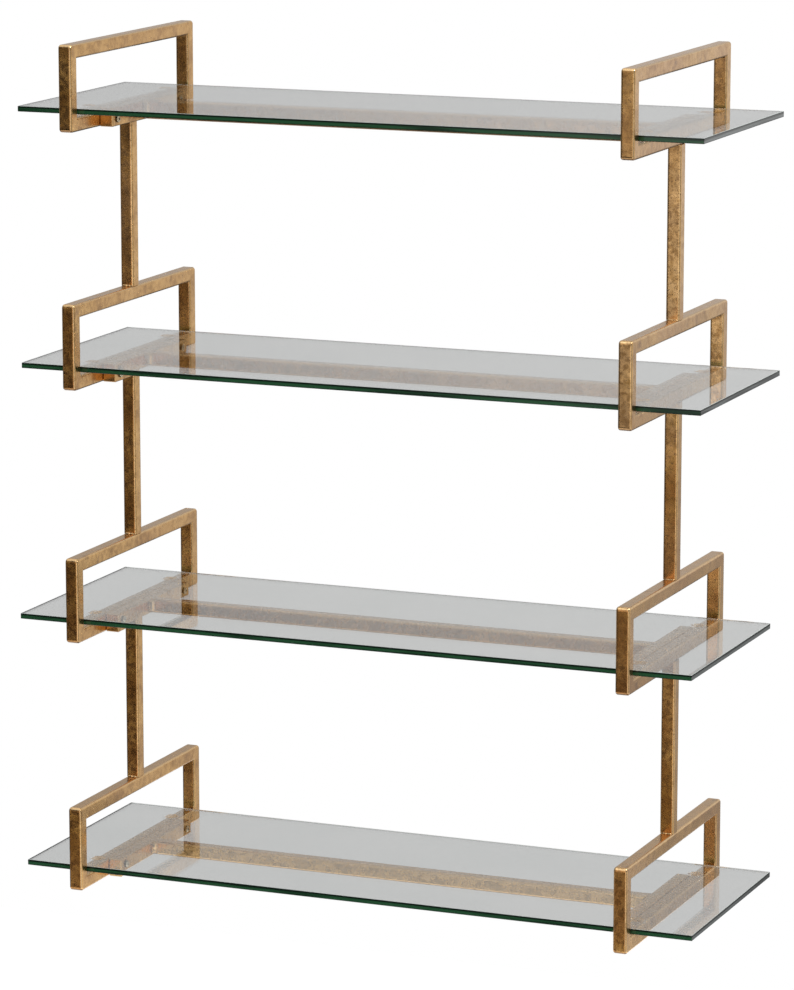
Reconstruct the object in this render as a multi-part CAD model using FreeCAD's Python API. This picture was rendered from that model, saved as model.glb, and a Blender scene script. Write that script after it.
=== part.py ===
# Wall shelf: two end frames of gilded square tube, stretchers between them, and four loose sheets of glass.
# Millimetres. +X is the viewer's right, -Y the front, +Z up. The wall is the plane y = 0.
# The origin is midway between the two keyholes by which the shelf hangs.
import FreeCAD, Part
import os

# Square tube of the end frames and the stretchers, measured over its finish
tube_size = 15.0
tube_wall = 1.5
tube_edge_radius = 2.4
loop_corner_radius = 4.0

# End frames: one closed loop of tube for each sheet of glass, joined by uprights
tier_count = 4
tier_pitch = 274.0
loop_depth = 305.0
loop_height = 92.0

# Keyholes in the back of the two top loops
keyhole_entry_diameter = 9.0
keyhole_slot_width = 4.8
keyhole_slot_rise = 12.0

# Stretchers: a long rail with a drilled bar across each end, screwed to the loops
end_bar_length = 180.0
end_bar_edge_radius = 1.2
stretcher_set_back = 5.0
screw_from_end = 12.0

# Button-head screws
screw_shank_diameter = 4.0
screw_length = 20.0
screw_tip_chamfer = 0.5
screw_head_diameter = 7.4
screw_head_height = 2.4
screw_head_round = 1.5
screw_socket_across_flats = 2.5
screw_socket_depth = 1.3
screw_hole_clearance = 0.25

# Clear bumpers under the glass
bumper_diameter = 19.0
bumper_height = 3.2
bumper_rim_round = 1.2
bumper_from_front = 55.0
bumper_from_back = 62.0

# Glass, loose on its bumpers. It hangs over beyond the middle of each end frame, and the shifts are
# how far to the right of that place each sheet lies, top one first
glass_length = 762.0
glass_overhang = 69.5
glass_thickness = 6.0
glass_edge_chamfer = 0.5
glass_behind_front_post = 1.0
glass_before_rear_post = 14.0
glass_shift_right = (6.0, 6.0, 0.0, 4.0)

# Places that follow from those sizes
half_tube = tube_size / 2
half_spacing = glass_length / 2 - glass_overhang
front = -loop_depth
mid_depth = front / 2
stretcher_depth = mid_depth + stretcher_set_back
side_sign = {"left": -1, "right": 1}
along_x = FreeCAD.Vector(1, 0, 0)
along_y = FreeCAD.Vector(0, 1, 0)
along_z = FreeCAD.Vector(0, 0, 1)


def loop_bottom(tier):
    """Height of the underside of a loop; tier 1 is the top one, whose middle is level with the keyholes."""
    return -loop_height / 2 - (tier - 1) * tier_pitch


def aimed(shape, direction, start):
    """A copy of a shape drawn along +Z from the origin, turned to a direction and moved to its start."""
    copy = shape.copy()
    copy.Placement = FreeCAD.Placement(start, FreeCAD.Rotation(along_z, direction))
    return copy


def edges_along(shape, direction):
    """The edges of a box that run along a direction."""
    return [edge for edge in shape.Edges if round(abs(edge.tangentAt(0).dot(direction))) == 1]


def solid_bar(length):
    """Square bar with rounded long edges."""
    corner = FreeCAD.Vector(-half_tube, -half_tube, 0)
    blank = Part.makeBox(tube_size, tube_size, length, corner)
    return blank.makeFillet(tube_edge_radius, edges_along(blank, along_z))


def square_tube(length):
    """Hollow bar of the same outside, open at both ends."""
    bore = tube_size - 2 * tube_wall
    hollow = Part.makeBox(bore, bore, length, FreeCAD.Vector(-bore / 2, -bore / 2, 0))
    return solid_bar(length).cut(hollow)


def loop_sides():
    """The four mitred tubes of one loop, standing on z = 0 with its middle at x = 0 and its corners ground round."""
    blank = Part.makeBox(tube_size, loop_depth, loop_height, FreeCAD.Vector(-half_tube, front, 0))
    outline = blank.makeFillet(loop_corner_radius, edges_along(blank, along_x))
    rims = [edge for edge in outline.Edges if edge.BoundBox.XLength < half_tube]
    outline = outline.makeFillet(tube_edge_radius, rims)
    outer = {
        "low_front": (front, 0),
        "low_back": (0, 0),
        "high_front": (front, loop_height),
        "high_back": (0, loop_height),
    }
    inner = {}
    for corner, (y, z) in outer.items():
        inward_y = tube_size if y == front else -tube_size
        inward_z = tube_size if z == 0 else -tube_size
        inner[corner] = (y + inward_y, z + inward_z)
    post = square_tube(loop_height)
    bar = square_tube(loop_depth)
    front_foot = FreeCAD.Vector(0, front + half_tube, 0)
    rear_foot = FreeCAD.Vector(0, -half_tube, 0)
    top_start = FreeCAD.Vector(0, front, loop_height - half_tube)
    bottom_start = FreeCAD.Vector(0, front, half_tube)
    lying = {
        "front_post": (post, along_z, front_foot, "low_front", "high_front"),
        "rear_post": (post, along_z, rear_foot, "low_back", "high_back"),
        "top_bar": (bar, along_y, top_start, "high_front", "high_back"),
        "bottom_bar": (bar, along_y, bottom_start, "low_front", "low_back"),
    }
    sides = {}
    for name, (tube, direction, start, first, last) in lying.items():
        ring = [outer[first], outer[last], inner[last], inner[first], outer[first]]
        mitre = Part.makePolygon([FreeCAD.Vector(-half_tube, y, z) for y, z in ring])
        wedge = Part.Face(mitre).extrude(along_x * tube_size)
        sides[name] = aimed(tube, direction, start).common(wedge).common(outline)
    return sides


def keyhole(x):
    """Cutter for a keyhole through the back wall of a rear post: a screw's head goes in below the slot."""
    slot_radius = keyhole_slot_width / 2
    entry_middle = FreeCAD.Vector(x, -tube_wall, 0)
    entry = Part.makeCylinder(keyhole_entry_diameter / 2, tube_wall, entry_middle, along_y)
    slot_corner = entry_middle - along_x * slot_radius
    slot = Part.makeBox(keyhole_slot_width, tube_wall, keyhole_slot_rise, slot_corner)
    slot_top = entry_middle + along_z * keyhole_slot_rise
    seat = Part.makeCylinder(slot_radius, tube_wall, slot_top, along_y)
    return entry.fuse(slot).fuse(seat)


def screw():
    """Button-head screw along Z, the underside of its head at the origin and its shank below."""
    head = Part.makeCylinder(screw_head_diameter / 2, screw_head_height)
    crown = [edge for edge in head.Edges if edge.BoundBox.ZMin > screw_head_height / 2]
    head = head.makeFillet(screw_head_round, crown)
    flat_count = 6
    corner = along_x * (screw_socket_across_flats / 3 ** 0.5)
    socket_floor = along_z * (screw_head_height - screw_socket_depth)
    ring = []
    for step in range(flat_count + 1):
        turn = FreeCAD.Rotation(along_z, 360 / flat_count * step)
        ring.append(turn.multVec(corner) + socket_floor)
    socket = Part.Face(Part.makePolygon(ring)).extrude(along_z * screw_socket_depth)
    shank = Part.makeCylinder(screw_shank_diameter / 2, screw_length, along_z * -screw_length)
    tip = [edge for edge in shank.Edges if edge.BoundBox.ZMax < -screw_length / 2]
    shank = shank.makeChamfer(screw_tip_chamfer, tip)
    return head.cut(socket).fuse(shank)


def bumper():
    """Clear disc with a flat top and a rounded rim, standing on z = 0."""
    disc = Part.makeCylinder(bumper_diameter / 2, bumper_height)
    rim = [edge for edge in disc.Edges if edge.BoundBox.ZMin > bumper_height / 2]
    return disc.makeFillet(bumper_rim_round, rim)


pieces = {}

# End frames: loops of four mitred tubes, and an upright from each loop to the one below
sides = loop_sides()
upright_length = tier_pitch - loop_height
upright_blank = square_tube(upright_length)
for side, sign in side_sign.items():
    x = sign * half_spacing
    for tier in range(1, tier_count + 1):
        for name, tube in sides.items():
            pieces[f"{side}_loop{tier}_{name}"] = tube.translated(FreeCAD.Vector(x, 0, loop_bottom(tier)))
    for tier in range(1, tier_count):
        foot = FreeCAD.Vector(x, mid_depth, loop_bottom(tier) - upright_length)
        pieces[f"{side}_upright{tier}"] = upright_blank.translated(foot)
    pieces[f"{side}_loop1_rear_post"] = pieces[f"{side}_loop1_rear_post"].cut(keyhole(x))

# Stretchers: end bars against the inner faces of the bottom bars, a rail between them, and the screws
end_bar_middle = half_spacing - tube_size
half_end_bar = end_bar_length / 2
half_rail = end_bar_middle - half_tube
rail_blank = square_tube(2 * half_rail)
end_bar_blank = Part.makeBox(tube_size, end_bar_length, tube_size)
end_bar_blank = end_bar_blank.makeFillet(end_bar_edge_radius, end_bar_blank.Edges)
hole_radius = screw_shank_diameter / 2 + screw_hole_clearance
screw_blank = screw()
screws = []
for tier in range(1, tier_count + 1):
    bottom = loop_bottom(tier)
    screw_height = bottom + half_tube
    rail_start = FreeCAD.Vector(-half_rail, stretcher_depth, screw_height)
    pieces[f"stretcher_rail{tier}"] = aimed(rail_blank, along_x, rail_start)
    for side, sign in side_sign.items():
        end_bar_x = sign * end_bar_middle - half_tube
        end_bar_corner = FreeCAD.Vector(end_bar_x, stretcher_depth - half_end_bar, bottom)
        end_bar = end_bar_blank.translated(end_bar_corner)
        loop_bottom_bar = pieces[f"{side}_loop{tier}_bottom_bar"]
        for screw_offset in (half_end_bar - screw_from_end, screw_from_end - half_end_bar):
            head_seat = FreeCAD.Vector(sign * half_rail, stretcher_depth + screw_offset, screw_height)
            hole = Part.makeCylinder(hole_radius, tube_size + tube_wall, head_seat, along_x * sign)
            end_bar = end_bar.cut(hole)
            loop_bottom_bar = loop_bottom_bar.cut(hole)
            screws.append(aimed(screw_blank, along_x * -sign, head_seat))
        pieces[f"{side}_end_bar{tier}"] = end_bar
        pieces[f"{side}_loop{tier}_bottom_bar"] = loop_bottom_bar
pieces["stretcher_screws"] = Part.makeCompound(screws)

# Bumpers on the bottom bars, and the glass that lies on them between the posts
bumper_blank = bumper()
glass_front = front + tube_size + glass_behind_front_post
glass_back = -tube_size - glass_before_rear_post
glass_depth = glass_back - glass_front
glass_corner = FreeCAD.Vector(-glass_length / 2, glass_front, 0)
glass_blank = Part.makeBox(glass_length, glass_depth, glass_thickness, glass_corner)
glass_blank = glass_blank.makeChamfer(glass_edge_chamfer, glass_blank.Edges)
bumpers = []
for tier in range(1, tier_count + 1):
    bumper_seat = loop_bottom(tier) + tube_size
    for sign in side_sign.values():
        for y in (front + bumper_from_front, -bumper_from_back):
            bumpers.append(bumper_blank.translated(FreeCAD.Vector(sign * half_spacing, y, bumper_seat)))
    glass_place = FreeCAD.Vector(glass_shift_right[tier - 1], 0, bumper_seat + bumper_height)
    pieces[f"glass_shelf{tier}"] = glass_blank.translated(glass_place)
pieces["glass_bumpers"] = Part.makeCompound(bumpers)

os.makedirs("parts", exist_ok=True)
for name, shape in pieces.items():
    shape.exportStep(f"parts/{name}.step")
    print(name, "solids", len(shape.Solids), "valid", shape.isValid(), "volume", round(shape.Volume, 1))
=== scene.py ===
# Wall shelf: gilded end frames, screwed stretchers and four loose sheets of glass, dressed over its solids.
# Metres. +X is the viewer's right, -Y the front, +Z up, and the wall is the plane y = 0.
import math

import bmesh
import bpy
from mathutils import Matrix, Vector


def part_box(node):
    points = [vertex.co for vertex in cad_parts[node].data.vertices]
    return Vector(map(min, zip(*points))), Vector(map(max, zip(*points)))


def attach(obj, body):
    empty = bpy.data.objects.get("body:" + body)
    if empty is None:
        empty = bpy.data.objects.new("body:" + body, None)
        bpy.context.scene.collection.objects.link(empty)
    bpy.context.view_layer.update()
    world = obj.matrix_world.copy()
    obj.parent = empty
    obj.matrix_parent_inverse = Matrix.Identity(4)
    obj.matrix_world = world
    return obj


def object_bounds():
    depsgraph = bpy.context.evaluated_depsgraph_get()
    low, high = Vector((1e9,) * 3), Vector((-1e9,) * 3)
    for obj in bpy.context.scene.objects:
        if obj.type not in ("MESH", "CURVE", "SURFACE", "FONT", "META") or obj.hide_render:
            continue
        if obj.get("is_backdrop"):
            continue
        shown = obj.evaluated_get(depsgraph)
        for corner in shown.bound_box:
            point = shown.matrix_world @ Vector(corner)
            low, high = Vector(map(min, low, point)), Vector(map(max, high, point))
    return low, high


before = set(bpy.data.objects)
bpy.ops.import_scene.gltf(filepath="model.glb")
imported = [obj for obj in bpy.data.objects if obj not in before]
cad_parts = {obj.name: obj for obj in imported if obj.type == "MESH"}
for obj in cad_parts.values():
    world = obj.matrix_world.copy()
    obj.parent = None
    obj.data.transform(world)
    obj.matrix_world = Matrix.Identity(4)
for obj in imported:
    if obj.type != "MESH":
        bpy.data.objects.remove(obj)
solid_low, solid_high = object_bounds()

# End frames: loops of square steel tube, mitred and welded, joined by uprights of the same tube.
# They are gilded with metal leaf over a dark ground and rubbed back by hand, so the colour drifts from
# pale gold to umber, the edges are paler where the rubbing reached them and carry a painted highlight,
# and specks of the ground show.
tiers = (1, 2, 3, 4)
sides = ("left", "right")
loop_parts = ("front_post", "rear_post", "top_bar", "bottom_bar")


def paint(red, green, blue):
    """A colour as the eye reads it, 0 to 255, as the share of light that it sends back."""
    shares = (red / 255, green / 255, blue / 255)
    return tuple(((s + 0.055) / 1.055) ** 2.4 if s > 0.04045 else s / 12.92 for s in shares) + (1.0,)


def put(tree, kind, inputs=None, **settings):
    """A shader node with its settings. Each input takes a value or the output of another node."""
    node = tree.nodes.new(kind)
    for name, value in settings.items():
        setattr(node, name, value)
    for socket, value in (inputs or {}).items():
        if isinstance(value, bpy.types.NodeSocket):
            tree.links.new(value, node.inputs[socket])
        else:
            node.inputs[socket].default_value = value
    return node


def sums(tree, operation, first, *others):
    """Numbers put together by one operation, from the first to the last."""
    for other in others:
        first = put(tree, "ShaderNodeMath", {0: first, 1: other}, operation=operation).outputs[0]
    return first


def rest(tree, share):
    """What a share leaves of 1."""
    return sums(tree, "SUBTRACT", 1.0, share)


def magnitude(tree, number):
    """A number without its sign."""
    return put(tree, "ShaderNodeMath", {0: number}, operation="ABSOLUTE").outputs[0]


def along_axes(tree, vector):
    """The parts of a vector along X, Y and Z."""
    return tuple(put(tree, "ShaderNodeSeparateXYZ", {"Vector": vector}).outputs)


def between(tree, value, low, high, at_low=0.0, at_high=1.0):
    """A number eased from at_low to at_high as a value goes from low to high."""
    inputs = {"Value": value, "From Min": low, "From Max": high, "To Min": at_low, "To Max": at_high}
    return put(tree, "ShaderNodeMapRange", inputs, interpolation_type="SMOOTHSTEP").outputs["Result"]


def mottle(tree, place, scale, detail=4.0, roughness=0.55, distortion=0.0):
    """Cloudy numbers from 0 to 1, with about scale clouds to a metre."""
    inputs = {"Vector": place, "Scale": scale, "Detail": detail, "Roughness": roughness,
              "Distortion": distortion}
    return put(tree, "ShaderNodeTexNoise", inputs).outputs["Fac"]


def patches(tree, place, scale, start, full, most=1.0, **pattern):
    """A share that goes from 0 to most where cloudy numbers go from start to full."""
    return between(tree, mottle(tree, place, scale, **pattern), start, full, 0.0, most)


def ramp(tree, value, stops):
    """A colour from a value, through stops of (place, colour)."""
    node = put(tree, "ShaderNodeValToRGB", {"Fac": value})
    while len(node.color_ramp.elements) < len(stops):
        node.color_ramp.elements.new(1.0)
    for element, (place, colour) in zip(node.color_ramp.elements, stops):
        element.position = place
        element.color = colour
    return node.outputs["Color"]


def blended(tree, share, first, second):
    """Two colours mixed by a share that varies over the surface."""
    first_colour, second_colour, mixed_colour = 6, 7, 2
    inputs = {"Factor": share, first_colour: first, second_colour: second}
    return put(tree, "ShaderNodeMix", inputs, data_type="RGBA").outputs[mixed_colour]


def new_material(name):
    """An empty material and its node tree."""
    material = bpy.data.materials.new(name)
    material.use_nodes = True
    material.node_tree.nodes.clear()
    return material, material.node_tree


def surfaced(tree, inputs):
    """Ends a material with one principled shader."""
    shader = put(tree, "ShaderNodeBsdfPrincipled", inputs)
    put(tree, "ShaderNodeOutputMaterial", {"Surface": shader.outputs["BSDF"]})


def finish(node, material):
    """Gives a solid its finish."""
    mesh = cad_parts[node].data
    mesh.materials.clear()
    mesh.materials.append(material)


leaf_tones = [(0.34, paint(124, 86, 36)), (0.44, paint(163, 120, 58)), (0.50, paint(185, 141, 75)),
              (0.57, paint(199, 155, 88)), (0.68, paint(216, 174, 108))]
rose_leaf = paint(166, 122, 78)
# Painted light: a paler leaf that the tops are blended towards
painted_top_light_leaf = paint(226, 182, 126)
smudged_leaf = paint(104, 68, 36)
# A paler leaf for rubbed edges, partly real wear and partly a painted highlight
rubbed_edge_highlight = paint(222, 188, 138)
# Painted shade for rounded edges that face down
painted_underside_shade = paint(92, 60, 32)
bare_ground = paint(64, 42, 24)
pitted_ground = paint(84, 58, 30)


def rounded_edges(tree, facing):
    """1 on the rounded edges of square tube, where the surface faces along no axis, and 0 on its flats."""
    on_flat, on_round = 0.985, 0.80
    most = sums(tree, "MAXIMUM", *(magnitude(tree, part) for part in facing))
    return between(tree, most, on_flat, on_round)


def leaf_drift(tree, clouds, rubbing, grain, fronts, tops, patchy):
    """The leaf's drift from dark to pale gold, strongest on the fronts; a painted light lifts the tops and a
    painted shade darkens the fronts.
    """
    middle, side_contrast, more_on_fronts = 0.5, 0.68, 0.82
    painted_lighter_tops, painted_darker_fronts = 0.06, 0.03
    weights = ((clouds, 0.57), (rubbing, 0.37), (grain, 0.06))
    drift = sums(tree, "ADD", *(sums(tree, "MULTIPLY", pattern, weight) for pattern, weight in weights))
    contrast = between(tree, fronts, 0.0, 1.0, side_contrast, side_contrast + more_on_fronts * patchy)
    drift = sums(tree, "MULTIPLY", sums(tree, "SUBTRACT", drift, middle), contrast)
    # Painted light on the tops and painted shade on the fronts
    tone = sums(tree, "ADD", drift, middle, sums(tree, "MULTIPLY", tops, painted_lighter_tops))
    tone = sums(tree, "SUBTRACT", tone, sums(tree, "MULTIPLY", fronts, painted_darker_fronts))
    return ramp(tree, tone, leaf_tones)


def front_wear_and_reflection(tree, height, front_colour, higher_wear_and_reflection):
    """The colour that the fronts go to, partly real wear and partly painted reflection, with another colour
    from each of some heights on, where the fronts mirror other surroundings.
    """
    half_change = 0.05
    for start, colour in higher_wear_and_reflection:
        reached = between(tree, height, start - half_change, start + half_change)
        front_colour = blended(tree, reached, front_colour, colour)
    return front_colour


def leaf_dullness(tree, rubbing, grain, edges):
    """The leaf's roughness: less where it is rubbed and on the edges."""
    unrubbed, rubbed_back, edge_polish, grain_spread = 0.31, 0.20, 0.06, 0.03
    dullness = between(tree, rubbing, low=0.32, high=0.68, at_low=unrubbed, at_high=rubbed_back)
    polish = sums(tree, "MULTIPLY", edges, edge_polish)
    unevenness = sums(tree, "MULTIPLY", sums(tree, "SUBTRACT", grain, 0.5), grain_spread)
    return sums(tree, "ADD", sums(tree, "SUBTRACT", dullness, polish), unevenness)


def gilded(name, seed, rosiness, wear_and_reflection_reach, front_colour, higher_wear_and_reflection=(), patchy=1.0):
    """Rubbed and lacquered leaf. The seed moves its pattern, rosiness reddens it, the share after it is how
    far the fronts go towards their own colours, which are partly wear and partly painted reflection, and
    patchy is how unevenly they do."""
    material, tree = new_material(name)
    coordinates = put(tree, "ShaderNodeTexCoord").outputs
    move = {0: coordinates["Object"], 1: (seed, 2 * seed, 3 * seed)}
    place = put(tree, "ShaderNodeVectorMath", move, operation="ADD").outputs[0]
    facing = along_axes(tree, coordinates["Normal"])
    edges = rounded_edges(tree, facing)
    slanting, straight = 0.4, 0.9
    fronts = between(tree, magnitude(tree, facing[1]), slanting, straight)
    tops = between(tree, facing[2], slanting, straight)
    clouds = mottle(tree, place, scale=26.0, detail=3.0)
    rubbing = mottle(tree, place, scale=150.0, detail=3.0, roughness=0.5, distortion=0.4)
    grain = mottle(tree, place, scale=900.0, detail=2.0)

    leaf = leaf_drift(tree, clouds, rubbing, grain, fronts, tops, patchy)
    rosy = patches(tree, place, scale=7.0, start=0.36, full=0.60, most=rosiness, detail=2.0)
    leaf = blended(tree, rosy, leaf, rose_leaf)
    least_wear_and_reflection, most_wear_and_reflection = (1.0 - 0.55 * patchy) * wear_and_reflection_reach, (1.0 + 0.45 * patchy) * wear_and_reflection_reach
    wear_and_reflection = between(tree, rubbing, low=0.34, high=0.60, at_low=least_wear_and_reflection, at_high=most_wear_and_reflection)
    wear_and_reflection = sums(tree, "MULTIPLY", wear_and_reflection, fronts)
    height = along_axes(tree, coordinates["Object"])[2]
    # The fronts' colours, stepping with height, are partly real wear and partly painted reflection.
    leaf = blended(tree, wear_and_reflection, leaf, front_wear_and_reflection(tree, height, front_colour, higher_wear_and_reflection))
    painted_top_light_share, speck_share, speck_depth = 0.7, 0.8, 0.015
    # Painted light: the tops are blended most of the way to a paler leaf.
    leaf = blended(tree, sums(tree, "MULTIPLY", tops, painted_top_light_share), leaf, painted_top_light_leaf)
    smudges = patches(tree, place, scale=48.0, start=0.60, full=0.72, most=0.55 * patchy, detail=4.0,
                      roughness=0.6)
    leaf = blended(tree, smudges, leaf, smudged_leaf)
    # Rubbed edges go paler: real wear, and also a painted highlight along them.
    rubbed = between(tree, rubbing, low=0.30, high=0.52, at_low=0.45, at_high=0.80)
    leaf = blended(tree, sums(tree, "MULTIPLY", rubbed, edges), leaf, rubbed_edge_highlight)
    # Painted shade: rounded edges that face down are darkened.
    underside_shade_share = between(tree, facing[2], low=-0.10, high=-0.45, at_high=0.9)
    leaf = blended(tree, sums(tree, "MULTIPLY", underside_shade_share, edges), leaf, painted_underside_shade)
    specks = patches(tree, place, scale=480.0, start=0.62, full=0.69, detail=2.0, roughness=0.6)
    specks = sums(tree, "MULTIPLY", specks, between(tree, clouds, low=0.45, high=0.57, at_high=patchy))
    leaf = blended(tree, sums(tree, "MULTIPLY", specks, speck_share), leaf, bare_ground)
    pits = patches(tree, place, scale=640.0, start=0.53, full=0.64, most=0.42 * patchy, detail=2.0)
    leaf = blended(tree, sums(tree, "MULTIPLY", pits, fronts), leaf, pitted_ground)

    waves = mottle(tree, place, scale=45.0, detail=1.0)
    relief = sums(tree, "SUBTRACT", waves, sums(tree, "MULTIPLY", specks, speck_depth))
    bump = put(tree, "ShaderNodeBump", {"Height": relief, "Strength": 0.5, "Distance": 0.0007})
    dullness = leaf_dullness(tree, rubbing, grain, edges)
    surfaced(tree, {"Base Color": leaf, "Roughness": dullness, "Metallic": 1.0,
                    "Normal": bump.outputs["Normal"], "Coat Weight": 0.30,
                    "Coat Roughness": 0.16, "Coat IOR": 1.5})
    return material


frame_finish = {
    "left": gilded("gilded_left_frame", seed=0.0, rosiness=0.2, wear_and_reflection_reach=0.55, front_colour=paint(154, 100, 48),
                   higher_wear_and_reflection=[(-0.20, paint(190, 142, 92)), (-0.07, paint(120, 80, 40))]),
    "right": gilded("gilded_right_frame", seed=3.7, rosiness=0.4, wear_and_reflection_reach=0.45, front_colour=paint(142, 87, 35),
                    higher_wear_and_reflection=[(-0.35, paint(188, 150, 104)), (-0.07, paint(128, 92, 52))]),
}
for side in sides:
    for tier in tiers:
        for part in loop_parts:
            finish(f"{side}_loop{tier}_{part}", frame_finish[side])
    for tier in tiers[:-1]:
        finish(f"{side}_upright{tier}", frame_finish[side])

# Welds of the end frames: a small convex bead across the front and the back of each upright, top and foot,
# and a smaller hollow run inside each corner of a loop. They are steel, laid by hand and gilded over.
bead_leg = {"left": 0.0019, "right": 0.0012}
corner_leg = 0.0016
bead_shortening = 0.0016
ripples_across = 3


def weld_run(mesh, start, end, first_way, second_way, leg, hollow, ripples):
    """Adds a bead of weld along a corner to a mesh; the ways lead from the corner along its two faces."""
    stations_per_ripple, steps = 4, 6
    sunk, end_size, end_growth, ripple_height = 0.0002, 0.45, 4.0, 0.05
    start, end, first_way, second_way = (Vector(v) for v in (start, end, first_way, second_way))
    stations = stations_per_ripple * ripples + 1
    rings = []
    for station in range(stations):
        share = station / (stations - 1)
        taper = min(1.0, end_size + end_growth * min(share, 1.0 - share))
        reach = leg * taper * (1.0 + ripple_height * math.sin(math.tau * ripples * share))
        corner = start.lerp(end, share) - (first_way + second_way) * sunk
        ring = [mesh.verts.new(corner)]
        for step in range(steps + 1):
            turn = math.pi / 2 * step / steps
            if hollow:
                out, up = 1.0 - math.sin(turn), 1.0 - math.cos(turn)
            else:
                out, up = math.cos(turn), math.sin(turn)
            surface = first_way * (reach * out + sunk) + second_way * (reach * up + sunk)
            ring.append(mesh.verts.new(corner + surface))
        rings.append(ring)
    for ring, following in zip(rings, rings[1:]):
        for i in range(len(ring)):
            j = (i + 1) % len(ring)
            mesh.faces.new((ring[i], ring[j], following[j], following[i]))
    mesh.faces.new(rings[0])
    mesh.faces.new(rings[-1])


def welded(name, mesh, material):
    """Turns runs of weld into a smooth piece of the frame."""
    bmesh.ops.recalc_face_normals(mesh, faces=mesh.faces)
    data = bpy.data.meshes.new(name)
    mesh.to_mesh(data)
    mesh.free()
    data.shade_smooth()
    data.materials.append(material)
    piece = bpy.data.objects.new(name, data)
    bpy.context.scene.collection.objects.link(piece)
    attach(piece, "frame")


for side in sides:
    beads = bmesh.new()
    corners = bmesh.new()
    for tier in tiers:
        top_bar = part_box(f"{side}_loop{tier}_top_bar")
        bottom_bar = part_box(f"{side}_loop{tier}_bottom_bar")
        front_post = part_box(f"{side}_loop{tier}_front_post")
        rear_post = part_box(f"{side}_loop{tier}_rear_post")
        left, right = top_bar[0].x + bead_shortening, top_bar[1].x - bead_shortening
        if tier < tiers[-1]:
            low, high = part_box(f"{side}_upright{tier}")
            for z, up in ((low.z, 1), (high.z, -1)):
                for y, out in ((low.y, -1), (high.y, 1)):
                    ways = (0, out, 0), (0, 0, up)
                    weld_run(beads, (left, y, z), (right, y, z), *ways, bead_leg[side], False, ripples_across)
        for y, inward in ((front_post[1].y, 1), (rear_post[0].y, -1)):
            for z, up in ((bottom_bar[1].z, 1), (top_bar[0].z, -1)):
                ways = (0, inward, 0), (0, 0, up)
                weld_run(corners, (left, y, z), (right, y, z), *ways, corner_leg, True, ripples_across)
    welded(f"{side}_upright_weld_beads", beads, frame_finish[side])
    welded(f"{side}_loop_corner_welds", corners, frame_finish[side])

# Stretchers: a rail of the same tube between two short bars, one H under each sheet of glass.
# Rail and bars are welded together and gilded with the frames, more evenly because little rubs them;
# the lowest one is paler.
stretcher_finish = gilded("gilded_stretchers", seed=8.1, rosiness=0.0, wear_and_reflection_reach=0.5,
                          front_colour=paint(176, 126, 74), patchy=0.3)
low_stretcher_finish = gilded("gilded_low_stretcher", seed=8.1, rosiness=0.0, wear_and_reflection_reach=0.85,
                              front_colour=paint(224, 186, 130), patchy=0.1)
fillet_leg = 0.0050
fillet_inset = 0.0007
ripples_up = 2
fillets = bmesh.new()
for tier in tiers:
    for node in (f"stretcher_rail{tier}", f"left_end_bar{tier}", f"right_end_bar{tier}"):
        finish(node, low_stretcher_finish if tier == tiers[-1] else stretcher_finish)
    low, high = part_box(f"stretcher_rail{tier}")
    bottom, top = low.z + fillet_inset, high.z - fillet_inset
    for x, inward in ((low.x, 1), (high.x, -1)):
        for y, out in ((low.y, -1), (high.y, 1)):
            ways = (inward, 0, 0), (0, out, 0)
            weld_run(fillets, (x, y, bottom), (x, y, top), *ways, fillet_leg, True, ripples_up)
welded("stretcher_weld_fillets", fillets, stretcher_finish)

# Screws: plated steel button heads with a socket, two to each end bar, driven into the loops.
# The plating is a little dulled and yellowed, and a painted shade darkens each head in its socket and where
# it meets the bar.
plating_tones = [(0.35, paint(120, 104, 76)), (0.5, paint(188, 176, 148)), (0.66, paint(216, 208, 188))]
seat_shade_colour = paint(52, 42, 28)
unshaded_above_seat, shaded_above_seat = 0.0018, 0.0011
screw_plating, tree = new_material("screw_plating")
coordinates = put(tree, "ShaderNodeTexCoord").outputs
spots = mottle(tree, coordinates["Object"], scale=900.0, detail=4.0)
from_middle = magnitude(tree, along_axes(tree, coordinates["Object"])[0])
head_seat = abs(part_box("stretcher_rail1")[0].x)
# Painted shade in the socket and round the foot of each head
seat_shade = between(tree, from_middle, head_seat - unshaded_above_seat, head_seat - shaded_above_seat, at_high=0.85)
plating = blended(tree, seat_shade, ramp(tree, spots, plating_tones), seat_shade_colour)
bump = put(tree, "ShaderNodeBump", {"Height": spots, "Strength": 0.25, "Distance": 0.0002})
surfaced(tree, {"Base Color": plating, "Metallic": 1.0, "Normal": bump.outputs["Normal"],
                "Roughness": between(tree, spots, low=0.3, high=0.7, at_low=0.22, at_high=0.4)})
finish("stretcher_screws", screw_plating)

# Bumpers: clear soft plastic discs with a flat top and a rounded rim, stuck on the bottom bars.
# They are moulded and a little hazy; their rims show, and their tops cling to the glass and all but vanish.
plastic_tones = [(0.3, paint(232, 231, 226)), (0.7, paint(247, 247, 243))]
top_body, rim_body = 0.03, 0.11
bumper_plastic, tree = new_material("bumper_plastic")
coordinates = put(tree, "ShaderNodeTexCoord").outputs
haze = mottle(tree, coordinates["Object"], scale=160.0, detail=2.0)
upward = magnitude(tree, along_axes(tree, coordinates["Normal"])[2])
surfaced(tree, {"Base Color": ramp(tree, haze, plastic_tones),
                "Roughness": between(tree, haze, low=0.3, high=0.7, at_low=0.40, at_high=0.55),
                "Alpha": between(tree, upward, low=0.95, high=0.2, at_low=top_body, at_high=rim_body),
                "IOR": 1.46, "Specular IOR Level": 0.2})
finish("glass_bumpers", bumper_plastic)

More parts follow.
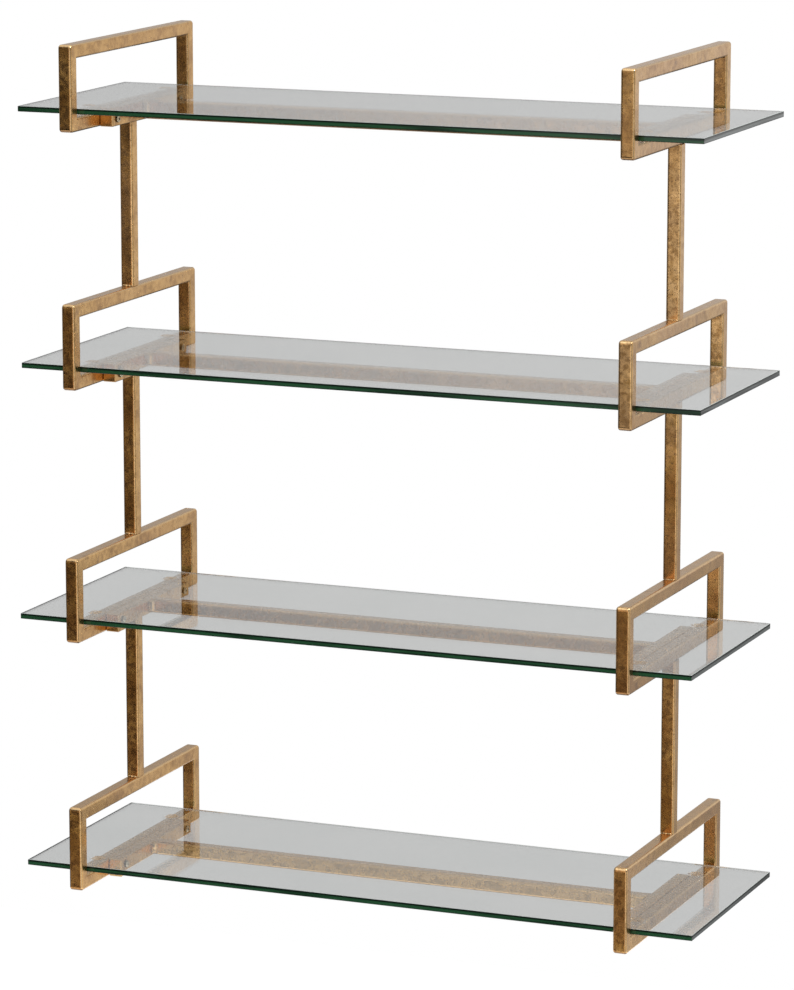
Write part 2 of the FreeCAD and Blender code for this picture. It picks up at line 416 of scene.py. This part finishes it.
# Glass: four cut sheets of clear float glass, 6 mm thick, laid loose on the bumpers, with ground edges.
# The edges are opaque and their colours painted: the long ones deep green and the ends grey, lit across the
# middle and darker at the foot and top as painted light in the glass, with a painted highlight along the top
# arris. The back edge is pale from behind, and clear where it is seen through the sheet.
long_edge_dark, long_edge_lit = paint(14, 26, 19), paint(37, 76, 49)
end_edge_dark, end_edge_lit = paint(14, 17, 16), paint(84, 88, 87)
back_edge, painted_arris_highlight = paint(196, 220, 208), paint(188, 196, 192)
pane_tones = [(0.3, paint(233, 235, 234)), (0.7, paint(238, 239, 238))]
face_to_edge, long_to_end, to_back_edge = (0.95, 0.80), (0.4, 0.7), (0.9985, 0.9995)
lit_from_foot, lit_to_top, to_arris = (0.02, 0.20), (0.78, 0.52), (0.95, 0.98)
glass_sheet, tree = new_material("clear_glass_sheet")
coordinates = put(tree, "ShaderNodeTexCoord").outputs
facing = along_axes(tree, coordinates["Normal"])
edge = between(tree, magnitude(tree, facing[2]), *face_to_edge)
end = between(tree, magnitude(tree, facing[0]), *long_to_end)
depth_share, height_share = along_axes(tree, coordinates["Generated"])[1:]
back = between(tree, depth_share, *to_back_edge)
from_inside = sums(tree, "MULTIPLY", back, between(tree, facing[1], low=0.0, high=-0.5))
drawn_out = {"Vector": coordinates["Object"], "Scale": (7.0, 7.0, 190.0)}
streaks = mottle(tree, put(tree, "ShaderNodeMapping", drawn_out).outputs[0], scale=1.0, detail=2.0)
# Painted light in the edges: lit across the middle, darker at the foot and towards the top.
lit = sums(tree, "MULTIPLY", between(tree, height_share, *lit_to_top),
           between(tree, height_share, *lit_from_foot),
           between(tree, streaks, low=0.36, high=0.54, at_low=0.25))
long_edge = blended(tree, back, blended(tree, lit, long_edge_dark, long_edge_lit), back_edge)
edge_colour = blended(tree, end, long_edge, blended(tree, lit, end_edge_dark, end_edge_lit))
# Painted highlight along the top arris, except on the back edge.
painted_arris_share = sums(tree, "MULTIPLY", between(tree, height_share, *to_arris), rest(tree, back))
edge_colour = blended(tree, painted_arris_share, edge_colour, painted_arris_highlight)
opaque = sums(tree, "MULTIPLY", edge, rest(tree, from_inside))
smears = mottle(tree, coordinates["Object"], scale=9.0, detail=5.0, roughness=0.6)
surfaced(tree, {"Base Color": blended(tree, edge, ramp(tree, smears, pane_tones), edge_colour),
                "Roughness": between(tree, edge, 0.0, 1.0, at_high=0.10),
                "Transmission Weight": rest(tree, opaque), "IOR": 1.5,
                "Specular IOR Level": between(tree, edge, 0.0, 1.0, at_low=0.5, at_high=0.2)})
for tier in tiers:
    finish(f"glass_shelf{tier}", glass_sheet)

# Studio: a plain pale floor well below the shelf, which hangs free, as on a wall.
# The floor takes the shelf's shadow and is lifted to white where nothing shades it; seen through
# glass it is grey, as the backdrop is.
floor_drop = 0.75
floor_reach = 1.9
floor_reach_before = 2.2
floor_grey = (0.80, 0.80, 0.80, 1.0)
white = (1.0, 1.0, 1.0, 1.0)
floor_lift = 0.60
floor_through_glass = 0.68
floor_height = solid_low.z - floor_drop
floor_corners = ((-floor_reach, -floor_reach_before), (floor_reach, -floor_reach_before),
                 (floor_reach, floor_reach), (-floor_reach, floor_reach))
floor_mesh = bpy.data.meshes.new("floor")
floor_mesh.from_pydata([(x, y, floor_height) for x, y in floor_corners], [], [(0, 1, 2, 3)])
floor = bpy.data.objects.new("floor", floor_mesh)
bpy.context.scene.collection.objects.link(floor)
floor_paint, tree = new_material("pale_floor")
rays = put(tree, "ShaderNodeLightPath").outputs
seen = sums(tree, "MAXIMUM", rays["Is Camera Ray"], rays["Is Glossy Ray"])
shaded = put(tree, "ShaderNodeBsdfDiffuse", {"Color": floor_grey})
lift = put(tree, "ShaderNodeEmission", {"Color": white, "Strength": sums(tree, "MULTIPLY", seen, floor_lift)})
lifted = put(tree, "ShaderNodeAddShader", {0: shaded.outputs[0], 1: lift.outputs[0]})
through_glass = put(tree, "ShaderNodeEmission", {"Color": white, "Strength": floor_through_glass})
either = {0: rays["Is Transmission Ray"], 1: lifted.outputs[0], 2: through_glass.outputs[0]}
floor_shader = put(tree, "ShaderNodeMixShader", either)
put(tree, "ShaderNodeOutputMaterial", {"Surface": floor_shader.outputs[0]})
floor_mesh.materials.append(floor_paint)
floor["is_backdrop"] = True

# Light: a pale studio all round and one soft lamp above to the right. The camera sees the studio white, and
# grey through glass. Metal and glass mirror it as it lies round them: pale behind and above, and dim in
# front but for a bright window a little to the left and a glow to the right.
window_strength, window_foot_level = 2.3, 0.05
right_glow_strength, right_glow_on_top = 1.5, 0.45
front_dimness, front_level, far_left_level, far_right_level = 0.03, 0.26, 0.30, 0.10
back_left_level, back_right_level, back_hollow, back_on_top = 0.41, 1.0, 0.65, 0.75
glass_sees_above, glass_sees_on_top, glass_sees_level, glass_sees_below = 0.80, 0.65, 0.645, 0.70

# Where each change begins and ends, as the share of a direction that points right, back or up
window_left, window_right, window_foot = (-0.395, -0.295), (0.06, -0.10), (-0.205, -0.145)
glow_left, glow_top = (0.05, 0.22), (0.05, 0.18)
front_brightens, far_left, far_right, front_ceiling = (-0.42, 0.0), (-0.60, -0.80), (0.88, 0.70), (0.55, 0.85)
back_brightens, back_top = (-0.70, 0.45), (0.15, 0.29)
hollow_right, hollow_top = (0.42, 0.30), (-0.13, -0.20)
ceiling, front_to_back = (0.28, 0.62), (-0.35, 0.35)
seen_above, seen_top, seen_below = (-0.08, 0.04), (0.20, 0.28), (-0.16, -0.24)


def mixed(tree, share, first, second):
    """A number that goes from the first to the second with a share."""
    kept = sums(tree, "MULTIPLY", first, rest(tree, share))
    return sums(tree, "ADD", kept, sums(tree, "MULTIPLY", second, share))


world = bpy.data.worlds.new("studio")
bpy.context.scene.world = world
world.use_nodes = True
tree = world.node_tree
tree.nodes.clear()
rays = put(tree, "ShaderNodeLightPath").outputs
to_right, to_back, to_top = along_axes(tree, put(tree, "ShaderNodeTexCoord").outputs["Generated"])
overhead = between(tree, to_top, *ceiling)
window = sums(tree, "MULTIPLY", between(tree, to_right, *window_left), between(tree, to_right, *window_right),
              between(tree, to_top, *window_foot, window_foot_level, window_strength))
right_glow = sums(tree, "MULTIPLY", between(tree, to_right, *glow_left, at_high=right_glow_strength),
                  between(tree, to_top, *glow_top, at_low=1.0, at_high=right_glow_on_top))
before = sums(tree, "MAXIMUM", window, between(tree, to_right, *front_brightens, front_dimness, front_level),
              right_glow, between(tree, to_right, *far_left, at_high=far_left_level))
before = sums(tree, "MULTIPLY", before, between(tree, to_right, *far_right, at_low=far_right_level))
before = sums(tree, "MAXIMUM", before, between(tree, to_top, *front_ceiling))
hollow = sums(tree, "MULTIPLY", between(tree, to_right, *hollow_right),
              between(tree, to_top, *hollow_top, at_high=back_hollow))
behind = between(tree, to_right, *back_brightens, back_left_level, back_right_level)
behind = sums(tree, "SUBTRACT", behind, hollow)
behind = sums(tree, "MULTIPLY", behind, between(tree, to_top, *back_top, at_low=1.0, at_high=back_on_top))
behind = sums(tree, "MAXIMUM", behind, overhead)
mirrored = mixed(tree, between(tree, to_back, *front_to_back), before, behind)
above = sums(tree, "MULTIPLY", between(tree, to_top, *seen_above, at_high=glass_sees_above),
             between(tree, to_top, *seen_top, at_low=1.0, at_high=glass_sees_on_top))
below = between(tree, to_top, *seen_below, glass_sees_level, glass_sees_below)
through = sums(tree, "MAXIMUM", above, overhead, below)
lit_level = mixed(tree, rays["Is Transmission Ray"], mirrored, through)
level = sums(tree, "MAXIMUM", rays["Is Camera Ray"], lit_level)
sky = put(tree, "ShaderNodeBackground", {"Color": white, "Strength": level})
put(tree, "ShaderNodeOutputWorld", {"Surface": sky.outputs[0]})

top_light = bpy.data.lights.new("top_lamp", "AREA")
top_light.shape = "RECTANGLE"
top_light.size = 1.0
top_light.size_y = 1.0
top_light.energy = 70.0
top_lamp = bpy.data.objects.new("top_lamp", top_light)
top_lamp.location = (2.0, -0.2, 2.1)
shelf_middle = (solid_low + solid_high) / 2
top_lamp.rotation_euler = (shelf_middle - top_lamp.location).to_track_quat("-Z", "Y").to_euler()
top_lamp.visible_camera = False
top_lamp.visible_transmission = False
bpy.context.scene.collection.objects.link(top_lamp)

# Camera: in front to the right, looking a little down, with a long lens, as in the photograph.
# Its place was worked out from edges of the shelf; it is turned to the left and tilted down, without shift.
turned_left, tilted_down = math.radians(22.3592), math.radians(11.1536)
camera_data = bpy.data.cameras.new("camera")
camera_data.sensor_width = 36.0
camera_data.lens = 168.473
camera = bpy.data.objects.new("camera", camera_data)
camera.location = (1.84663, -4.63885, 0.5201)
camera.rotation_euler = (math.pi / 2 - tilted_down, 0.0, turned_left)
bpy.context.scene.collection.objects.link(camera)
bpy.context.scene.camera = camera
bpy.context.scene.view_settings.view_transform = "Standard"

low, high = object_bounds()
